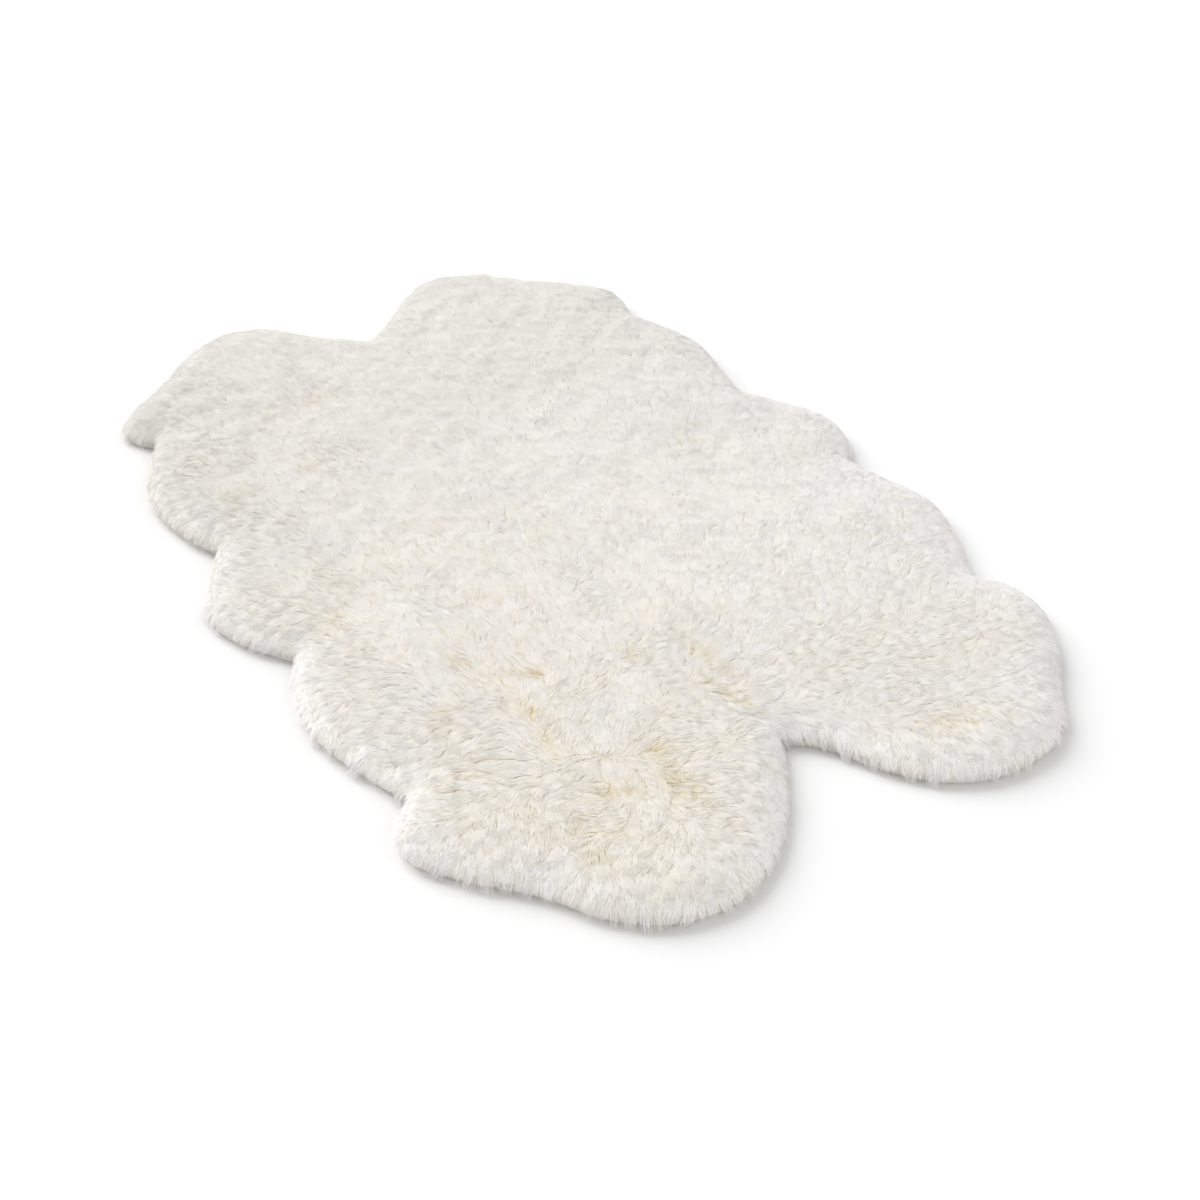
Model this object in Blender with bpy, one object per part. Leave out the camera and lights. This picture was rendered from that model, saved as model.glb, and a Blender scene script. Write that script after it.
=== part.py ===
"""Sheepskin rug: four pelts sewn two by two, lying flat with the wool up.

Metres, +Z up. The underside lies at z = 0, the rug's length runs along Y and its width along X, and
the two seams cross near the origin. Each pelt is one closed solid that reaches as far as its wool.
"""

import bmesh
import bpy
import numpy as np

RUG_NAME = "sheepskin_rug"

# Driving dimensions
WOOL_HEIGHT = 0.046          # the wool's mean height above the floor
RIM_HEIGHT = 0.009           # height at the outline, where the locks hang down to the floor
RIM_WIDTH = 0.062            # how far in from the outline the wool reaches its full height
RIM_RINGS = (0.005, 0.007, 0.009, 0.010)     # widths of the rings of faces just inside the outline
GRID_STEP = 0.036            # spacing of the surface's points inside the rings
GRID_SNAP = 0.004            # a point this near a grid line is left where it is
STEPS_PER_POINT = 5          # straight pieces between two points of the outline

SEAM_X = 0.0                 # the lengthwise seam, between the left and right pelts
SEAM_Y = 0.012               # the cross seam, between the far and near pelts
SEAM_GAP = 0.0003            # clear space between two pelts
SEAM_DIP = 0.005             # how much lower the wool lies over a seam
SEAM_DIP_WIDTH = 0.035

# The outline, anticlockwise from above, from where the far end's seam comes out.
# A row is x, y, and "notch" where two rounded flaps of skin meet, or "round" along a flap.
OUTLINE = (
    # the far left pelt: head lobe, fore flap, side flap and half of the middle flap
    (-0.012, 0.718, "notch"),
    (-0.110, 0.803, "round"),
    (-0.180, 0.872, "round"),
    (-0.258, 0.890, "round"),
    (-0.350, 0.846, "round"),
    (-0.440, 0.751, "round"),
    (-0.522, 0.676, "round"),
    (-0.549, 0.632, "round"),
    (-0.538, 0.590, "round"),
    (-0.508, 0.561, "notch"),
    (-0.548, 0.478, "round"),
    (-0.580, 0.378, "round"),
    (-0.570, 0.262, "round"),
    (-0.534, 0.168, "notch"),
    (-0.573, 0.092, "round"),
    # the near left pelt: half of the middle flap, side flap, fore flap and head lobe
    (-0.608, 0.000, "round"),
    (-0.580, -0.090, "round"),
    (-0.530, -0.160, "notch"),
    (-0.562, -0.236, "round"),
    (-0.577, -0.325, "round"),
    (-0.552, -0.432, "round"),
    (-0.516, -0.530, "notch"),
    (-0.550, -0.565, "round"),
    (-0.567, -0.615, "round"),
    (-0.530, -0.680, "round"),
    (-0.450, -0.765, "round"),
    (-0.372, -0.866, "round"),
    (-0.270, -0.910, "round"),
    (-0.170, -0.886, "round"),
    (-0.090, -0.815, "round"),
    (-0.034, -0.735, "round"),
    # the near right pelt: head lobe, fore flap, side flap and half of the middle flap
    (-0.008, -0.694, "notch"),
    (0.034, -0.730, "round"),
    (0.084, -0.818, "round"),
    (0.150, -0.884, "round"),
    (0.240, -0.911, "round"),
    (0.345, -0.888, "round"),
    (0.420, -0.806, "round"),
    (0.495, -0.722, "round"),
    (0.529, -0.640, "round"),
    (0.520, -0.580, "round"),
    (0.489, -0.540, "notch"),
    (0.540, -0.450, "round"),
    (0.577, -0.352, "round"),
    (0.560, -0.250, "round"),
    (0.540, -0.160, "notch"),
    (0.585, -0.100, "round"),
    # the far right pelt: half of the middle flap, side flap, fore flap and head lobe
    (0.603, 0.000, "round"),
    (0.558, 0.082, "round"),
    (0.520, 0.150, "notch"),
    (0.546, 0.262, "round"),
    (0.565, 0.362, "round"),
    (0.546, 0.458, "round"),
    (0.515, 0.540, "notch"),
    (0.536, 0.606, "round"),
    (0.535, 0.668, "round"),
    (0.490, 0.722, "round"),
    (0.400, 0.806, "round"),
    (0.318, 0.882, "round"),
    (0.218, 0.909, "round"),
    (0.125, 0.850, "round"),
    (0.060, 0.778, "round"),
)

# Places where the wool parts or lies pressed down. A row is x, y, radius, depth.
HOLLOWS = (
    (-0.290, -0.410, 0.070, 0.008),
    (-0.300, -0.550, 0.060, 0.007),
    (-0.215, -0.670, 0.075, 0.009),
    (-0.020, -0.560, 0.075, 0.009),
    (0.210, -0.780, 0.080, 0.006),
    (0.310, 0.020, 0.070, 0.006),
    (-0.450, -0.140, 0.055, 0.006),
    (-0.270, 0.480, 0.090, 0.004),
    (0.080, 0.300, 0.085, 0.005),
)

# Broad swells of the surface. A row is waves per metre along x, along y, phase, height.
SWELLS = (
    (2.3, 0.9, 0.4, 0.0018),
    (-1.1, 2.0, 2.1, 0.0016),
    (4.1, -2.7, 1.0, 0.0010),
    (1.7, 4.6, 5.2, 0.0010),
)

# Each pelt's side of the two seams and the colour of its wool
PELTS = {
    "pelt_far_left": (-1, 1, (0.79, 0.76, 0.70, 1.0)),
    "pelt_far_right": (1, 1, (0.80, 0.77, 0.73, 1.0)),
    "pelt_near_left": (-1, -1, (0.77, 0.73, 0.65, 1.0)),
    "pelt_near_right": (1, -1, (0.78, 0.74, 0.67, 1.0)),
}
WOOL_ROUGHNESS = 0.92
CUTTER_SIDE = 1.2            # a cutter's length and width, past the rug's edge
CUTTER_HEIGHT = 0.2


def new_collection(name):
    collection = bpy.data.collections.new(name)
    bpy.context.scene.collection.children.link(collection)
    return collection


def wool_material(name, colour):
    material = bpy.data.materials.new(name)
    material.use_nodes = True
    shader = material.node_tree.nodes["Principled BSDF"]
    shader.inputs["Base Color"].default_value = colour
    shader.inputs["Roughness"].default_value = WOOL_ROUGHNESS
    shader.inputs["Metallic"].default_value = 0.0
    return material


def outline_mesh():
    """The rug's flat shape: a filled Bezier curve, smooth along the flaps and pointed at the notches."""
    curve = bpy.data.curves.new("outline", "CURVE")
    curve.dimensions = "2D"
    curve.fill_mode = "BOTH"
    curve.resolution_u = STEPS_PER_POINT
    spline = curve.splines.new("BEZIER")
    spline.bezier_points.add(len(OUTLINE) - 1)
    for point, (x, y, kind) in zip(spline.bezier_points, OUTLINE):
        point.co = (x, y, 0)
        handle = "VECTOR" if kind == "notch" else "AUTO"
        point.handle_left_type = handle
        point.handle_right_type = handle
    spline.use_cyclic_u = True
    guide = bpy.data.objects.new("outline", curve)
    bpy.context.scene.collection.objects.link(guide)
    bpy.context.view_layer.update()
    evaluated = guide.evaluated_get(bpy.context.evaluated_depsgraph_get())
    mesh = bpy.data.meshes.new_from_object(evaluated)
    bpy.data.objects.remove(guide)
    bpy.data.curves.remove(curve)
    return mesh


def one_face(bm):
    """Joins the curve's fill into one flat face that looks up."""
    bmesh.ops.remove_doubles(bm, verts=bm.verts, dist=0.00005)
    face = bmesh.ops.dissolve_faces(bm, faces=bm.faces, use_verts=False)["region"][0]
    if face.normal.z < 0:
        face.normal_flip()
    return face


def add_rings(bm, face):
    """Rings of narrow faces inside the outline, so that the rim can round down to the floor."""
    for width in RIM_RINGS:
        bmesh.ops.inset_region(bm, faces=[face], thickness=width, use_even_offset=True)


def cut_to_grid(bm, face):
    """Cuts the face inside the rings along a square grid."""
    corners = np.array([v.co[:] for v in face.verts])
    middle = [face]
    for axis in (0, 1):
        normal = np.eye(3)[axis]
        first = np.ceil(corners[:, axis].min() / GRID_STEP)
        last = np.floor(corners[:, axis].max() / GRID_STEP)
        for k in np.arange(first, last + 1):
            parts = set(middle)
            parts.update(e for f in middle for e in f.edges)
            parts.update(v for f in middle for v in f.verts)
            cut = bmesh.ops.bisect_plane(
                bm, geom=list(parts), dist=GRID_SNAP, plane_co=normal * k * GRID_STEP, plane_no=normal
            )
            middle = [g for g in cut["geom"] if isinstance(g, bmesh.types.BMFace)]


def distance_to_outline(points, outline):
    """The distance from each point to the closest of the outline's straight pieces."""
    start = outline
    along = np.roll(outline, -1, axis=0) - start
    to_point = points[:, None, :] - start[None]
    share = (to_point * along).sum(-1) / (along ** 2).sum(-1)
    nearest = to_point - np.clip(share, 0, 1)[..., None] * along
    return np.sqrt((nearest ** 2).sum(-1)).min(axis=1)


def wool_top(points, outline):
    """Height of the wool: a quarter ellipse up from the outline, less dips and hollows, plus swells."""
    x, y = points.T
    full = np.full(len(points), WOOL_HEIGHT)
    for offset in (x - SEAM_X, y - SEAM_Y):
        full -= SEAM_DIP * np.exp(-(offset / SEAM_DIP_WIDTH) ** 2)
    for hollow_x, hollow_y, radius, depth in HOLLOWS:
        full -= depth * np.exp(-((x - hollow_x) ** 2 + (y - hollow_y) ** 2) / radius ** 2)
    for waves_x, waves_y, phase, height in SWELLS:
        full += height * np.sin(2 * np.pi * (waves_x * x + waves_y * y) + phase)
    inward = np.clip(distance_to_outline(points, outline) / RIM_WIDTH, 0, 1)
    return RIM_HEIGHT + (full - RIM_HEIGHT) * np.sqrt(1 - (1 - inward) ** 2)


def rug_blank():
    """The whole rug in one piece: its flat shape raised to the wool's top, on a flat underside."""
    flat = outline_mesh()
    bm = bmesh.new()
    bm.from_mesh(flat)
    bpy.data.meshes.remove(flat)
    face = one_face(bm)
    outline = np.array([v.co[:2] for v in face.verts])
    add_rings(bm, face)
    cut_to_grid(bm, face)
    bmesh.ops.triangulate(bm, faces=bm.faces)
    raised = bmesh.ops.extrude_face_region(bm, geom=bm.faces[:], use_keep_orig=True)["geom"]
    top = [g for g in raised if isinstance(g, bmesh.types.BMVert)]
    heights = wool_top(np.array([v.co[:2] for v in top]), outline)
    for vertex, height in zip(top, heights):
        vertex.co.z = height
    bmesh.ops.recalc_face_normals(bm, faces=bm.faces)
    mesh = bpy.data.meshes.new("rug_blank")
    bm.to_mesh(mesh)
    bm.free()
    mesh.shade_smooth()
    return mesh


def quarter_cutter(name, side_x, side_y, cutters):
    """A block over one quarter of the rug, half a gap clear of both seams."""
    bpy.ops.mesh.primitive_cube_add(size=1)
    cutter = bpy.context.object
    for collection in cutter.users_collection:
        collection.objects.unlink(cutter)
    cutters.objects.link(cutter)
    cutter.name = "cutter_" + name
    cutter.scale = (CUTTER_SIDE, CUTTER_SIDE, CUTTER_HEIGHT)
    reach = (CUTTER_SIDE + SEAM_GAP) / 2
    cutter.location = (SEAM_X + side_x * reach, SEAM_Y + side_y * reach, 0)
    cutter.hide_render = True
    cutter.display_type = "WIRE"
    return cutter


def make_pelt(name, blank, cutter, colour, collection):
    """One pelt: the quarter of the blank that lies inside the cutter."""
    mesh = blank.copy()
    mesh.name = name
    mesh.materials.append(wool_material("wool_" + name, colour))
    pelt = bpy.data.objects.new(name, mesh)
    collection.objects.link(pelt)
    cut = pelt.modifiers.new("cut_at_seams", "BOOLEAN")
    cut.operation = "INTERSECT"
    cut.solver = "EXACT"
    cut.object = cutter
    return pelt


def main():
    for obj in list(bpy.data.objects):
        bpy.data.objects.remove(obj)
    rug = new_collection(RUG_NAME)
    cutters = new_collection("cutters")
    blank = rug_blank()
    for name, (side_x, side_y, colour) in PELTS.items():
        cutter = quarter_cutter(name, side_x, side_y, cutters)
        make_pelt(name, blank, cutter, colour, rug)
    bpy.data.meshes.remove(blank)


main()
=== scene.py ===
import bpy
import numpy as np
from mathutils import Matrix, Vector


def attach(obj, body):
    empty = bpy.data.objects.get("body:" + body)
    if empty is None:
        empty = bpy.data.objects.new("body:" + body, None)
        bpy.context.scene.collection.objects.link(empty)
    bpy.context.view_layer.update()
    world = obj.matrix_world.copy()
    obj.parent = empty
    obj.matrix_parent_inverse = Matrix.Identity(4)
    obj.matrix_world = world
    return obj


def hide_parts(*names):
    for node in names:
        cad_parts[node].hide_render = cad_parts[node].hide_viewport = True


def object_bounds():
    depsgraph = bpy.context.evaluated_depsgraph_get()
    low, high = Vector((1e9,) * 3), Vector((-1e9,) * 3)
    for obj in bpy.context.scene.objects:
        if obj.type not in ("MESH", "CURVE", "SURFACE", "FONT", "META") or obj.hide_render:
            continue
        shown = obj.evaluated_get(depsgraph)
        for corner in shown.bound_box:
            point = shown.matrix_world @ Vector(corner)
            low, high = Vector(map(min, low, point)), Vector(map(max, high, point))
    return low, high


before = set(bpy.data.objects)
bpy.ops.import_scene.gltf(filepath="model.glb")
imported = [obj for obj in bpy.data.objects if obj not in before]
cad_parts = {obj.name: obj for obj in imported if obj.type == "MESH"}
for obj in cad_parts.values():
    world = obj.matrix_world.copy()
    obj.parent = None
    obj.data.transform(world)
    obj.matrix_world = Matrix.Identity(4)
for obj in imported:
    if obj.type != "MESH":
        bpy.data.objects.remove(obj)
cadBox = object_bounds()
print("frame loaded:", ", ".join(sorted(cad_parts)))


# the surface that the wool grows on: the grid's step and how far it reaches past the frame; where the
# pelts meet; the frame's height at the outline, the wool's own, and how far in it is full; the share of
# full height past which the frame's heights are read; how far out the wool reaches the floor; the sizes
# of the blurs, bridge being the one that fills the valley over a seam; half the way over which one pelt's
# settings turn into the next one's; the middle of a pelt, from the seams; and how near a seam a point
# counts as on it
ground = dict(
    step=0.003, margin=0.040, seamX=0.0, seamY=0.012, rim=0.009, lip=0.014, wall=0.062, known=0.9,
    spill=0.012, soft=0.004, broad=0.0155, bridge=0.030, turnBlur=0.007, mix=0.30, centreX=0.28,
    centreY=0.45, onSeam=0.001)

# side x, side y of each pelt, seen from the seams' crossing
pelts = dict(far_left=(-1, 1), far_right=(1, 1), near_left=(-1, -1), near_right=(1, -1))


def cadTriangles(node):
    # the corners of a node's triangles, n x 3 x 3
    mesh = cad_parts[node].data
    mesh.calc_loop_triangles()
    points = np.empty(len(mesh.vertices) * 3, np.float32)
    mesh.vertices.foreach_get("co", points)
    corners = np.empty(len(mesh.loop_triangles) * 3, np.int32)
    mesh.loop_triangles.foreach_get("vertices", corners)
    return points.reshape(-1, 3)[corners].reshape(-1, 3, 3).astype(float)


def outlineEdges(triangles):
    # the edges of the flat underside that one triangle uses, without those along the seams: n x 2 x 2
    flat = triangles[(triangles[:, :, 2] < 1e-5).all(axis=1)][:, :, :2]
    edges = np.concatenate([flat[:, [0, 1]], flat[:, [1, 2]], flat[:, [2, 0]]])
    ends = np.round(edges * 1e5).astype(np.int64)
    turned = (ends[:, 0] > ends[:, 1]).any(axis=1) & (ends[:, 0, 0] >= ends[:, 1, 0])
    keys = np.where(turned[:, None, None], ends[:, ::-1], ends).reshape(-1, 4)
    same, first, uses = np.unique(keys, axis=0, return_index=True, return_counts=True)
    lone = edges[first[uses == 1]]
    onSeam = (np.abs(lone[:, :, 0] - ground["seamX"]) < ground["onSeam"]).all(axis=1)
    onSeam |= (np.abs(lone[:, :, 1] - ground["seamY"]) < ground["onSeam"]).all(axis=1)
    return lone[~onSeam]


def rasterHeights(triangles, gridX, gridY):
    # the height of the triangles' upper side over each point of the grid, by barycentric shares, or 0
    heights = np.zeros((len(gridX), len(gridY)))
    step = ground["step"]
    for a, b, c in triangles:
        area = (b[0] - a[0]) * (c[1] - a[1]) - (b[1] - a[1]) * (c[0] - a[0])
        if area < 1e-9:
            continue
        low = np.minimum(np.minimum(a, b), c)
        high = np.maximum(np.maximum(a, b), c)
        i0, i1 = np.ceil((np.array([low[0], high[0]]) - gridX[0]) / step).astype(int)
        j0, j1 = np.ceil((np.array([low[1], high[1]]) - gridY[0]) / step).astype(int)
        x, y = np.meshgrid(gridX[i0:i1], gridY[j0:j1], indexing="ij")
        shareB = ((x - a[0]) * (c[1] - a[1]) - (y - a[1]) * (c[0] - a[0])) / area
        shareC = ((b[0] - a[0]) * (y - a[1]) - (b[1] - a[1]) * (x - a[0])) / area
        inside = (shareB >= -1e-6) & (shareC >= -1e-6) & (shareB + shareC <= 1 + 1e-6)
        z = a[2] + shareB * (b[2] - a[2]) + shareC * (c[2] - a[2])
        patch = heights[i0:i1, j0:j1]
        patch[inside] = np.maximum(patch, z)[inside]
    return heights


def distanceTo(edges, x, y):
    # the distance from each point to the nearest edge
    found = np.full(x.shape, np.inf)
    for start, end in edges:
        along = end - start
        share = np.clip(((x - start[0]) * along[0] + (y - start[1]) * along[1]) / (along @ along), 0, 1)
        found = np.minimum(found, np.hypot(x - start[0] - share * along[0], y - start[1] - share * along[1]))
    return found


def blurred(values, size):
    # a Gaussian blur: many times over and along both axes, each point becomes half of itself and a
    # quarter of each neighbour
    for _ in range(max(1, round(2 * (size / ground["step"]) ** 2))):
        for axis in (0, 1):
            values = values / 2 + (np.roll(values, 1, axis) + np.roll(values, -1, axis)) / 4
    return values


def sample(values, x, y):
    # bilinear reading of a grid of values at any points
    i = np.clip((x - gridX[0]) / ground["step"], 0, len(gridX) - 1.001)
    j = np.clip((y - gridY[0]) / ground["step"], 0, len(gridY) - 1.001)
    i0, j0 = i.astype(int), j.astype(int)
    fi, fj = i - i0, j - j0
    left = values[i0, j0] * (1 - fj) + values[i0, j0 + 1] * fj
    right = values[i0 + 1, j0] * (1 - fj) + values[i0 + 1, j0 + 1] * fj
    return left * (1 - fi) + right * fi


def unevenness(x, y, size, seed, count=28):
    # a smooth random field of about -1 to 1: sines in many directions, with waves about size long
    rng = np.random.default_rng(seed)
    turn, phase = rng.uniform(0, 2 * np.pi, (2, count))
    waves = 2 * np.pi / size * rng.uniform(0.55, 1.7, count)
    total = np.zeros(np.shape(x))
    for k in range(count):
        total += np.sin(waves[k] * (np.cos(turn[k]) * x + np.sin(turn[k]) * y) + phase[k])
    return total / np.sqrt(count) * 0.9


peltTriangles = {name: cadTriangles("pelt_" + name) for name in pelts}
edges = np.concatenate([outlineEdges(t) for t in peltTriangles.values()])
low, high = (np.array(corner) for corner in cadBox)
first = np.floor((low - ground["margin"]) / ground["step"])
last = np.ceil((high + ground["margin"]) / ground["step"])
# the grid's lines lie half a step to the side of the seams, so that none falls in the gap between two pelts
gridX, gridY = ((np.arange(first[k], last[k]) + 0.5) * ground["step"] for k in (0, 1))
mapX, mapY = np.meshgrid(gridX, gridY, indexing="ij")
rawHeight = rasterHeights(np.concatenate(list(peltTriangles.values())), gridX, gridY)
inwards = distanceTo(edges, mapX, mapY) * np.where(rawHeight > 0, 1, -1)
softInwards = blurred(inwards, ground["turnBlur"])
outX, outY = (-g for g in np.gradient(softInwards, ground["step"]))
outLength = np.maximum(np.hypot(outX, outY), 0.2)  # where the slope is weaker, the way out counts for less
outX, outY = outX / outLength, outY / outLength
print("ground:", len(edges), "outline edges, grid", mapX.shape)


# comb: x, y, the way the tips point in degrees from +X towards +Y. clump: spacing of the tufts, relief:
# their height, swirl: degrees of waver, loft: how far the strands' tips rise, straw: how yellow it is
# between the tufts, partly the roots' own straw colour and partly painted shade in the hollows there
wool = dict(
    far_left=dict(
        comb=((-0.10, 0.10, 84), (-0.30, 0.10, 95), (-0.52, 0.08, 140), (-0.10, 0.40, 86),
              (-0.32, 0.40, 100), (-0.52, 0.38, 140), (-0.08, 0.66, 85), (-0.30, 0.66, 105),
              (-0.46, 0.66, 130), (-0.25, 0.82, 95)),
        clump=0.018, relief=0.0010, swirl=20, loft=0.0003, straw=0.05, seed=11),
    far_right=dict(
        comb=((0.10, 0.12, 66), (0.32, 0.12, 58), (0.52, 0.10, 48), (0.08, 0.42, 76), (0.32, 0.42, 62),
              (0.50, 0.42, 52), (0.08, 0.68, 82), (0.28, 0.68, 68), (0.46, 0.66, 55), (0.22, 0.84, 72)),
        clump=0.018, relief=0.0010, swirl=16, loft=0.0003, straw=0.03, seed=12),
    near_left=dict(
        comb=((-0.10, -0.10, 74), (-0.30, -0.10, 85), (-0.50, -0.08, 130), (-0.10, -0.32, 50),
              (-0.30, -0.32, 95), (-0.50, -0.32, 160), (-0.08, -0.52, 15), (-0.23, -0.52, 30),
              (-0.37, -0.52, 165), (-0.48, -0.55, 185), (-0.12, -0.66, -15), (-0.33, -0.68, 205),
              (-0.14, -0.80, -60), (-0.32, -0.82, 245), (-0.48, -0.70, 215), (-0.23, -0.86, 270)),
        clump=0.017, relief=0.0008, swirl=30, loft=0.0004, straw=0.34, seed=13),
    near_right=dict(
        comb=((0.10, -0.10, 62), (0.30, -0.10, 50), (0.50, -0.08, 42), (0.08, -0.32, 42), (0.30, -0.32, 40),
              (0.50, -0.32, 32), (0.08, -0.52, 20), (0.28, -0.52, 22), (0.48, -0.55, 18), (0.16, -0.70, -25),
              (0.36, -0.70, -5), (0.22, -0.84, -75), (0.42, -0.78, -25)),
        clump=0.017, relief=0.0006, swirl=20, loft=0.0004, straw=0.17, seed=14),
)
# near the outline the wool turns outwards, and at a parting away from its line; the waver's two wavelengths
combing = dict(strength=2.6, reach=0.038, parting=0.5, wavy=0.16, wavyFine=0.06)

# where the wool is parted down to its straw-coloured roots: x, y, degrees, half length, half width,
# strength
partings = (
    (-0.330, -0.345, 120, 0.030, 0.010, 0.8),
    (-0.257, -0.410, 150, 0.034, 0.012, 0.9),
    (-0.303, -0.480, 100, 0.036, 0.011, 1.0),
    (-0.305, -0.556, 70, 0.026, 0.012, 1.0),
    (-0.190, -0.645, 120, 0.036, 0.016, 0.9),
    (-0.200, -0.705, 95, 0.056, 0.018, 1.0),
    (-0.270, -0.680, 170, 0.042, 0.015, 0.8),
    (-0.357, -0.726, 150, 0.060, 0.026, 0.4),
    (-0.363, -0.775, 20, 0.018, 0.012, 0.8),
    (-0.192, -0.817, 30, 0.030, 0.014, 0.4),
    (-0.442, -0.558, 30, 0.034, 0.018, 0.6),
    (-0.406, -0.443, 60, 0.030, 0.018, 0.4),
    (-0.117, -0.445, 110, 0.030, 0.010, 0.7),
    (-0.450, -0.140, 60, 0.026, 0.014, 0.5),
    (-0.230, -0.220, 150, 0.034, 0.010, 0.5),
    (-0.014, -0.520, 100, 0.060, 0.014, 0.8),
    (-0.030, -0.600, 110, 0.050, 0.014, 0.8),
    (0.202, -0.803, 150, 0.055, 0.024, 0.6),
    (0.310, 0.020, 165, 0.034, 0.010, 0.6),
    (-0.170, 0.012, 0, 0.100, 0.026, 0.18),
    (-0.230, 0.500, 10, 0.080, 0.024, 0.35),
    (-0.300, 0.290, 30, 0.050, 0.034, 0.3),
    (-0.450, 0.250, 60, 0.040, 0.024, 0.25),
)


def partingShape(x, y):
    # how parted the wool is, from 0 to 1, and the way away from the nearest parting's line, as a vector
    total, awayX, awayY = (np.zeros(np.shape(x)) for _ in range(3))
    for px, py, degrees, long, wide, strength in partings:
        c, s = np.cos(np.radians(degrees)), np.sin(np.radians(degrees))
        along, across = (x - px) * c + (y - py) * s, (y - py) * c - (x - px) * s
        gone = strength * np.exp(-(along / long) ** 2 - (across / wide) ** 2)
        total = np.maximum(total, gone)
        push = strength * np.exp(-(along / long) ** 2 - (across / (2.2 * wide)) ** 2) * np.tanh(across / wide)
        awayX, awayY = awayX - s * push, awayY + c * push
    return total, awayX, awayY


def combField(name):
    # the comb's rows blended by closeness, turned by a waver, pushed off the partings and out at the edge
    rows = np.radians(np.array(wool[name]["comb"])[:, 2])
    weights = [1 / ((mapX - x) ** 2 + (mapY - y) ** 2 + 0.004) ** 2 for x, y, _ in wool[name]["comb"]]
    x = sum(w * np.cos(turn) for w, turn in zip(weights, rows))
    y = sum(w * np.sin(turn) for w, turn in zip(weights, rows))
    turn = np.arctan2(y, x)
    waver = unevenness(mapX, mapY, combing["wavy"], wool[name]["seed"])
    waver += 0.6 * unevenness(mapX, mapY, combing["wavyFine"], wool[name]["seed"] + 50)
    turn += np.radians(wool[name]["swirl"]) * waver
    pull = combing["strength"] * np.exp(-np.maximum(inwards, 0) / combing["reach"])
    x = np.cos(turn) + pull * outX + combing["parting"] * partedX
    y = np.sin(turn) + pull * outY + combing["parting"] * partedY
    length = np.maximum(np.hypot(x, y), 1e-6)
    return x / length, y / length


parted, partedX, partedY = partingShape(mapX, mapY)
parted *= np.clip(0.75 + 0.6 * unevenness(mapX, mapY, 0.022, 7), 0.1, 1.2)  # broken up, as locks fall over it
combs = {name: combField(name) for name in pelts}
# low waves in the whole rug: two heights and sizes, how strong they are near and far, and the length over
# which that changes; how much lower the wool lies where it is parted, and how far in all this is at its full
waves = dict(
    broadHeight=0.0009, broad=0.09, fineHeight=0.0004, fine=0.045, near=0.6, far=1.4, over=0.6,
    parted=0.002, full=0.02)
rolling = waves["broadHeight"] * unevenness(mapX, mapY, waves["broad"], 5)
rolling += waves["fineHeight"] * unevenness(mapX, mapY, waves["fine"], 6)
farness = np.clip(0.5 + mapY / waves["over"], 0, 1)
rolling *= waves["near"] + (waves["far"] - waves["near"]) * farness

# tufts: the grid that their centres lie in, how far a tuft reaches back of its centre and on to its tip,
# half its width as a share of their spacing, how far one may turn, in degrees, how far across a seam wool
# may be rooted, how far the pelts reach from the seams, how far a tuft pushes the rug's edge, the relief
# that leaves the edge, and the one that leaves the surface, where they are, the size of the relief's blur,
# how much higher tufts are at the edge, and within what distance
tufts = dict(
    left=-0.75, near=-1.05, wide=1.5, long=2.1, back=0.014, tip=0.028, half=0.58, turn=26, over=0.018,
    reach=(0.66, 0.98), outwards=0.003, edgeLevel=0.4, level=0.6, soft=0.002, edgeGain=0.8, edgeReach=0.030)


def tuftCentres(name):
    # one random place in each square of a grid over the rug, and four random numbers of its own
    rng = np.random.default_rng(wool[name]["seed"] + 100)
    spacing = wool[name]["clump"]
    nx, ny = int(tufts["wide"] / spacing), int(tufts["long"] / spacing)
    i, j = np.meshgrid(np.arange(nx), np.arange(ny), indexing="ij")
    x = tufts["left"] + (i + rng.random((nx, ny))) * spacing
    y = tufts["near"] + (j + rng.random((nx, ny))) * spacing
    return x, y, rng.random((nx, ny, 4))


def tuftTurn(own):
    # how far a tuft is turned from the comb, in radians
    return np.radians(tufts["turn"]) * (own[..., 1] * 2 - 1)


def tuftRelief(name):
    # each tuft is a drop along the comb: it rises from its root, is round across and ends in a point; where
    # tufts overlap, the highest counts
    x, y, own = tuftCentres(name)
    sideX, sideY = pelts[name]
    inside = (x - ground["seamX"]) * sideX > -tufts["over"]
    inside &= (y - ground["seamY"]) * sideY > -tufts["over"]
    inside &= sample(inwards, x, y) > 0
    x, y, own = x[inside], y[inside], own[inside]
    way = np.arctan2(sample(combs[name][1], x, y), sample(combs[name][0], x, y)) + tuftTurn(own)
    window = int((tufts["back"] + tufts["tip"]) / ground["step"])
    columns = ((x - gridX[0]) / ground["step"]).astype(int)
    rows = ((y - gridY[0]) / ground["step"]).astype(int)
    relief = np.zeros(mapX.shape)
    for px, py, turn, size, i, j in zip(x, y, way, 0.55 + 0.45 * own[:, 2], columns, rows):
        part = (slice(max(i - window, 0), i + window), slice(max(j - window, 0), j + window))
        dx, dy = mapX[part] - px, mapY[part] - py
        long = tufts["back"] + tufts["tip"] * (0.5 + 0.5 * size)
        share = (dx * np.cos(turn) + dy * np.sin(turn) + tufts["back"]) / long
        across = (dy * np.cos(turn) - dx * np.sin(turn)) / (tufts["half"] * wool[name]["clump"])
        narrow = np.clip((1 - share) * 1.6, 1e-3, 1)
        rise = np.clip(share * 1.4, 0, 1) * np.sqrt(np.clip((1 - share) * 4, 0, 1))
        relief[part] = np.maximum(relief[part], size * rise * np.clip(1 - across ** 2 / narrow, 0, 1))
    return relief


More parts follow.
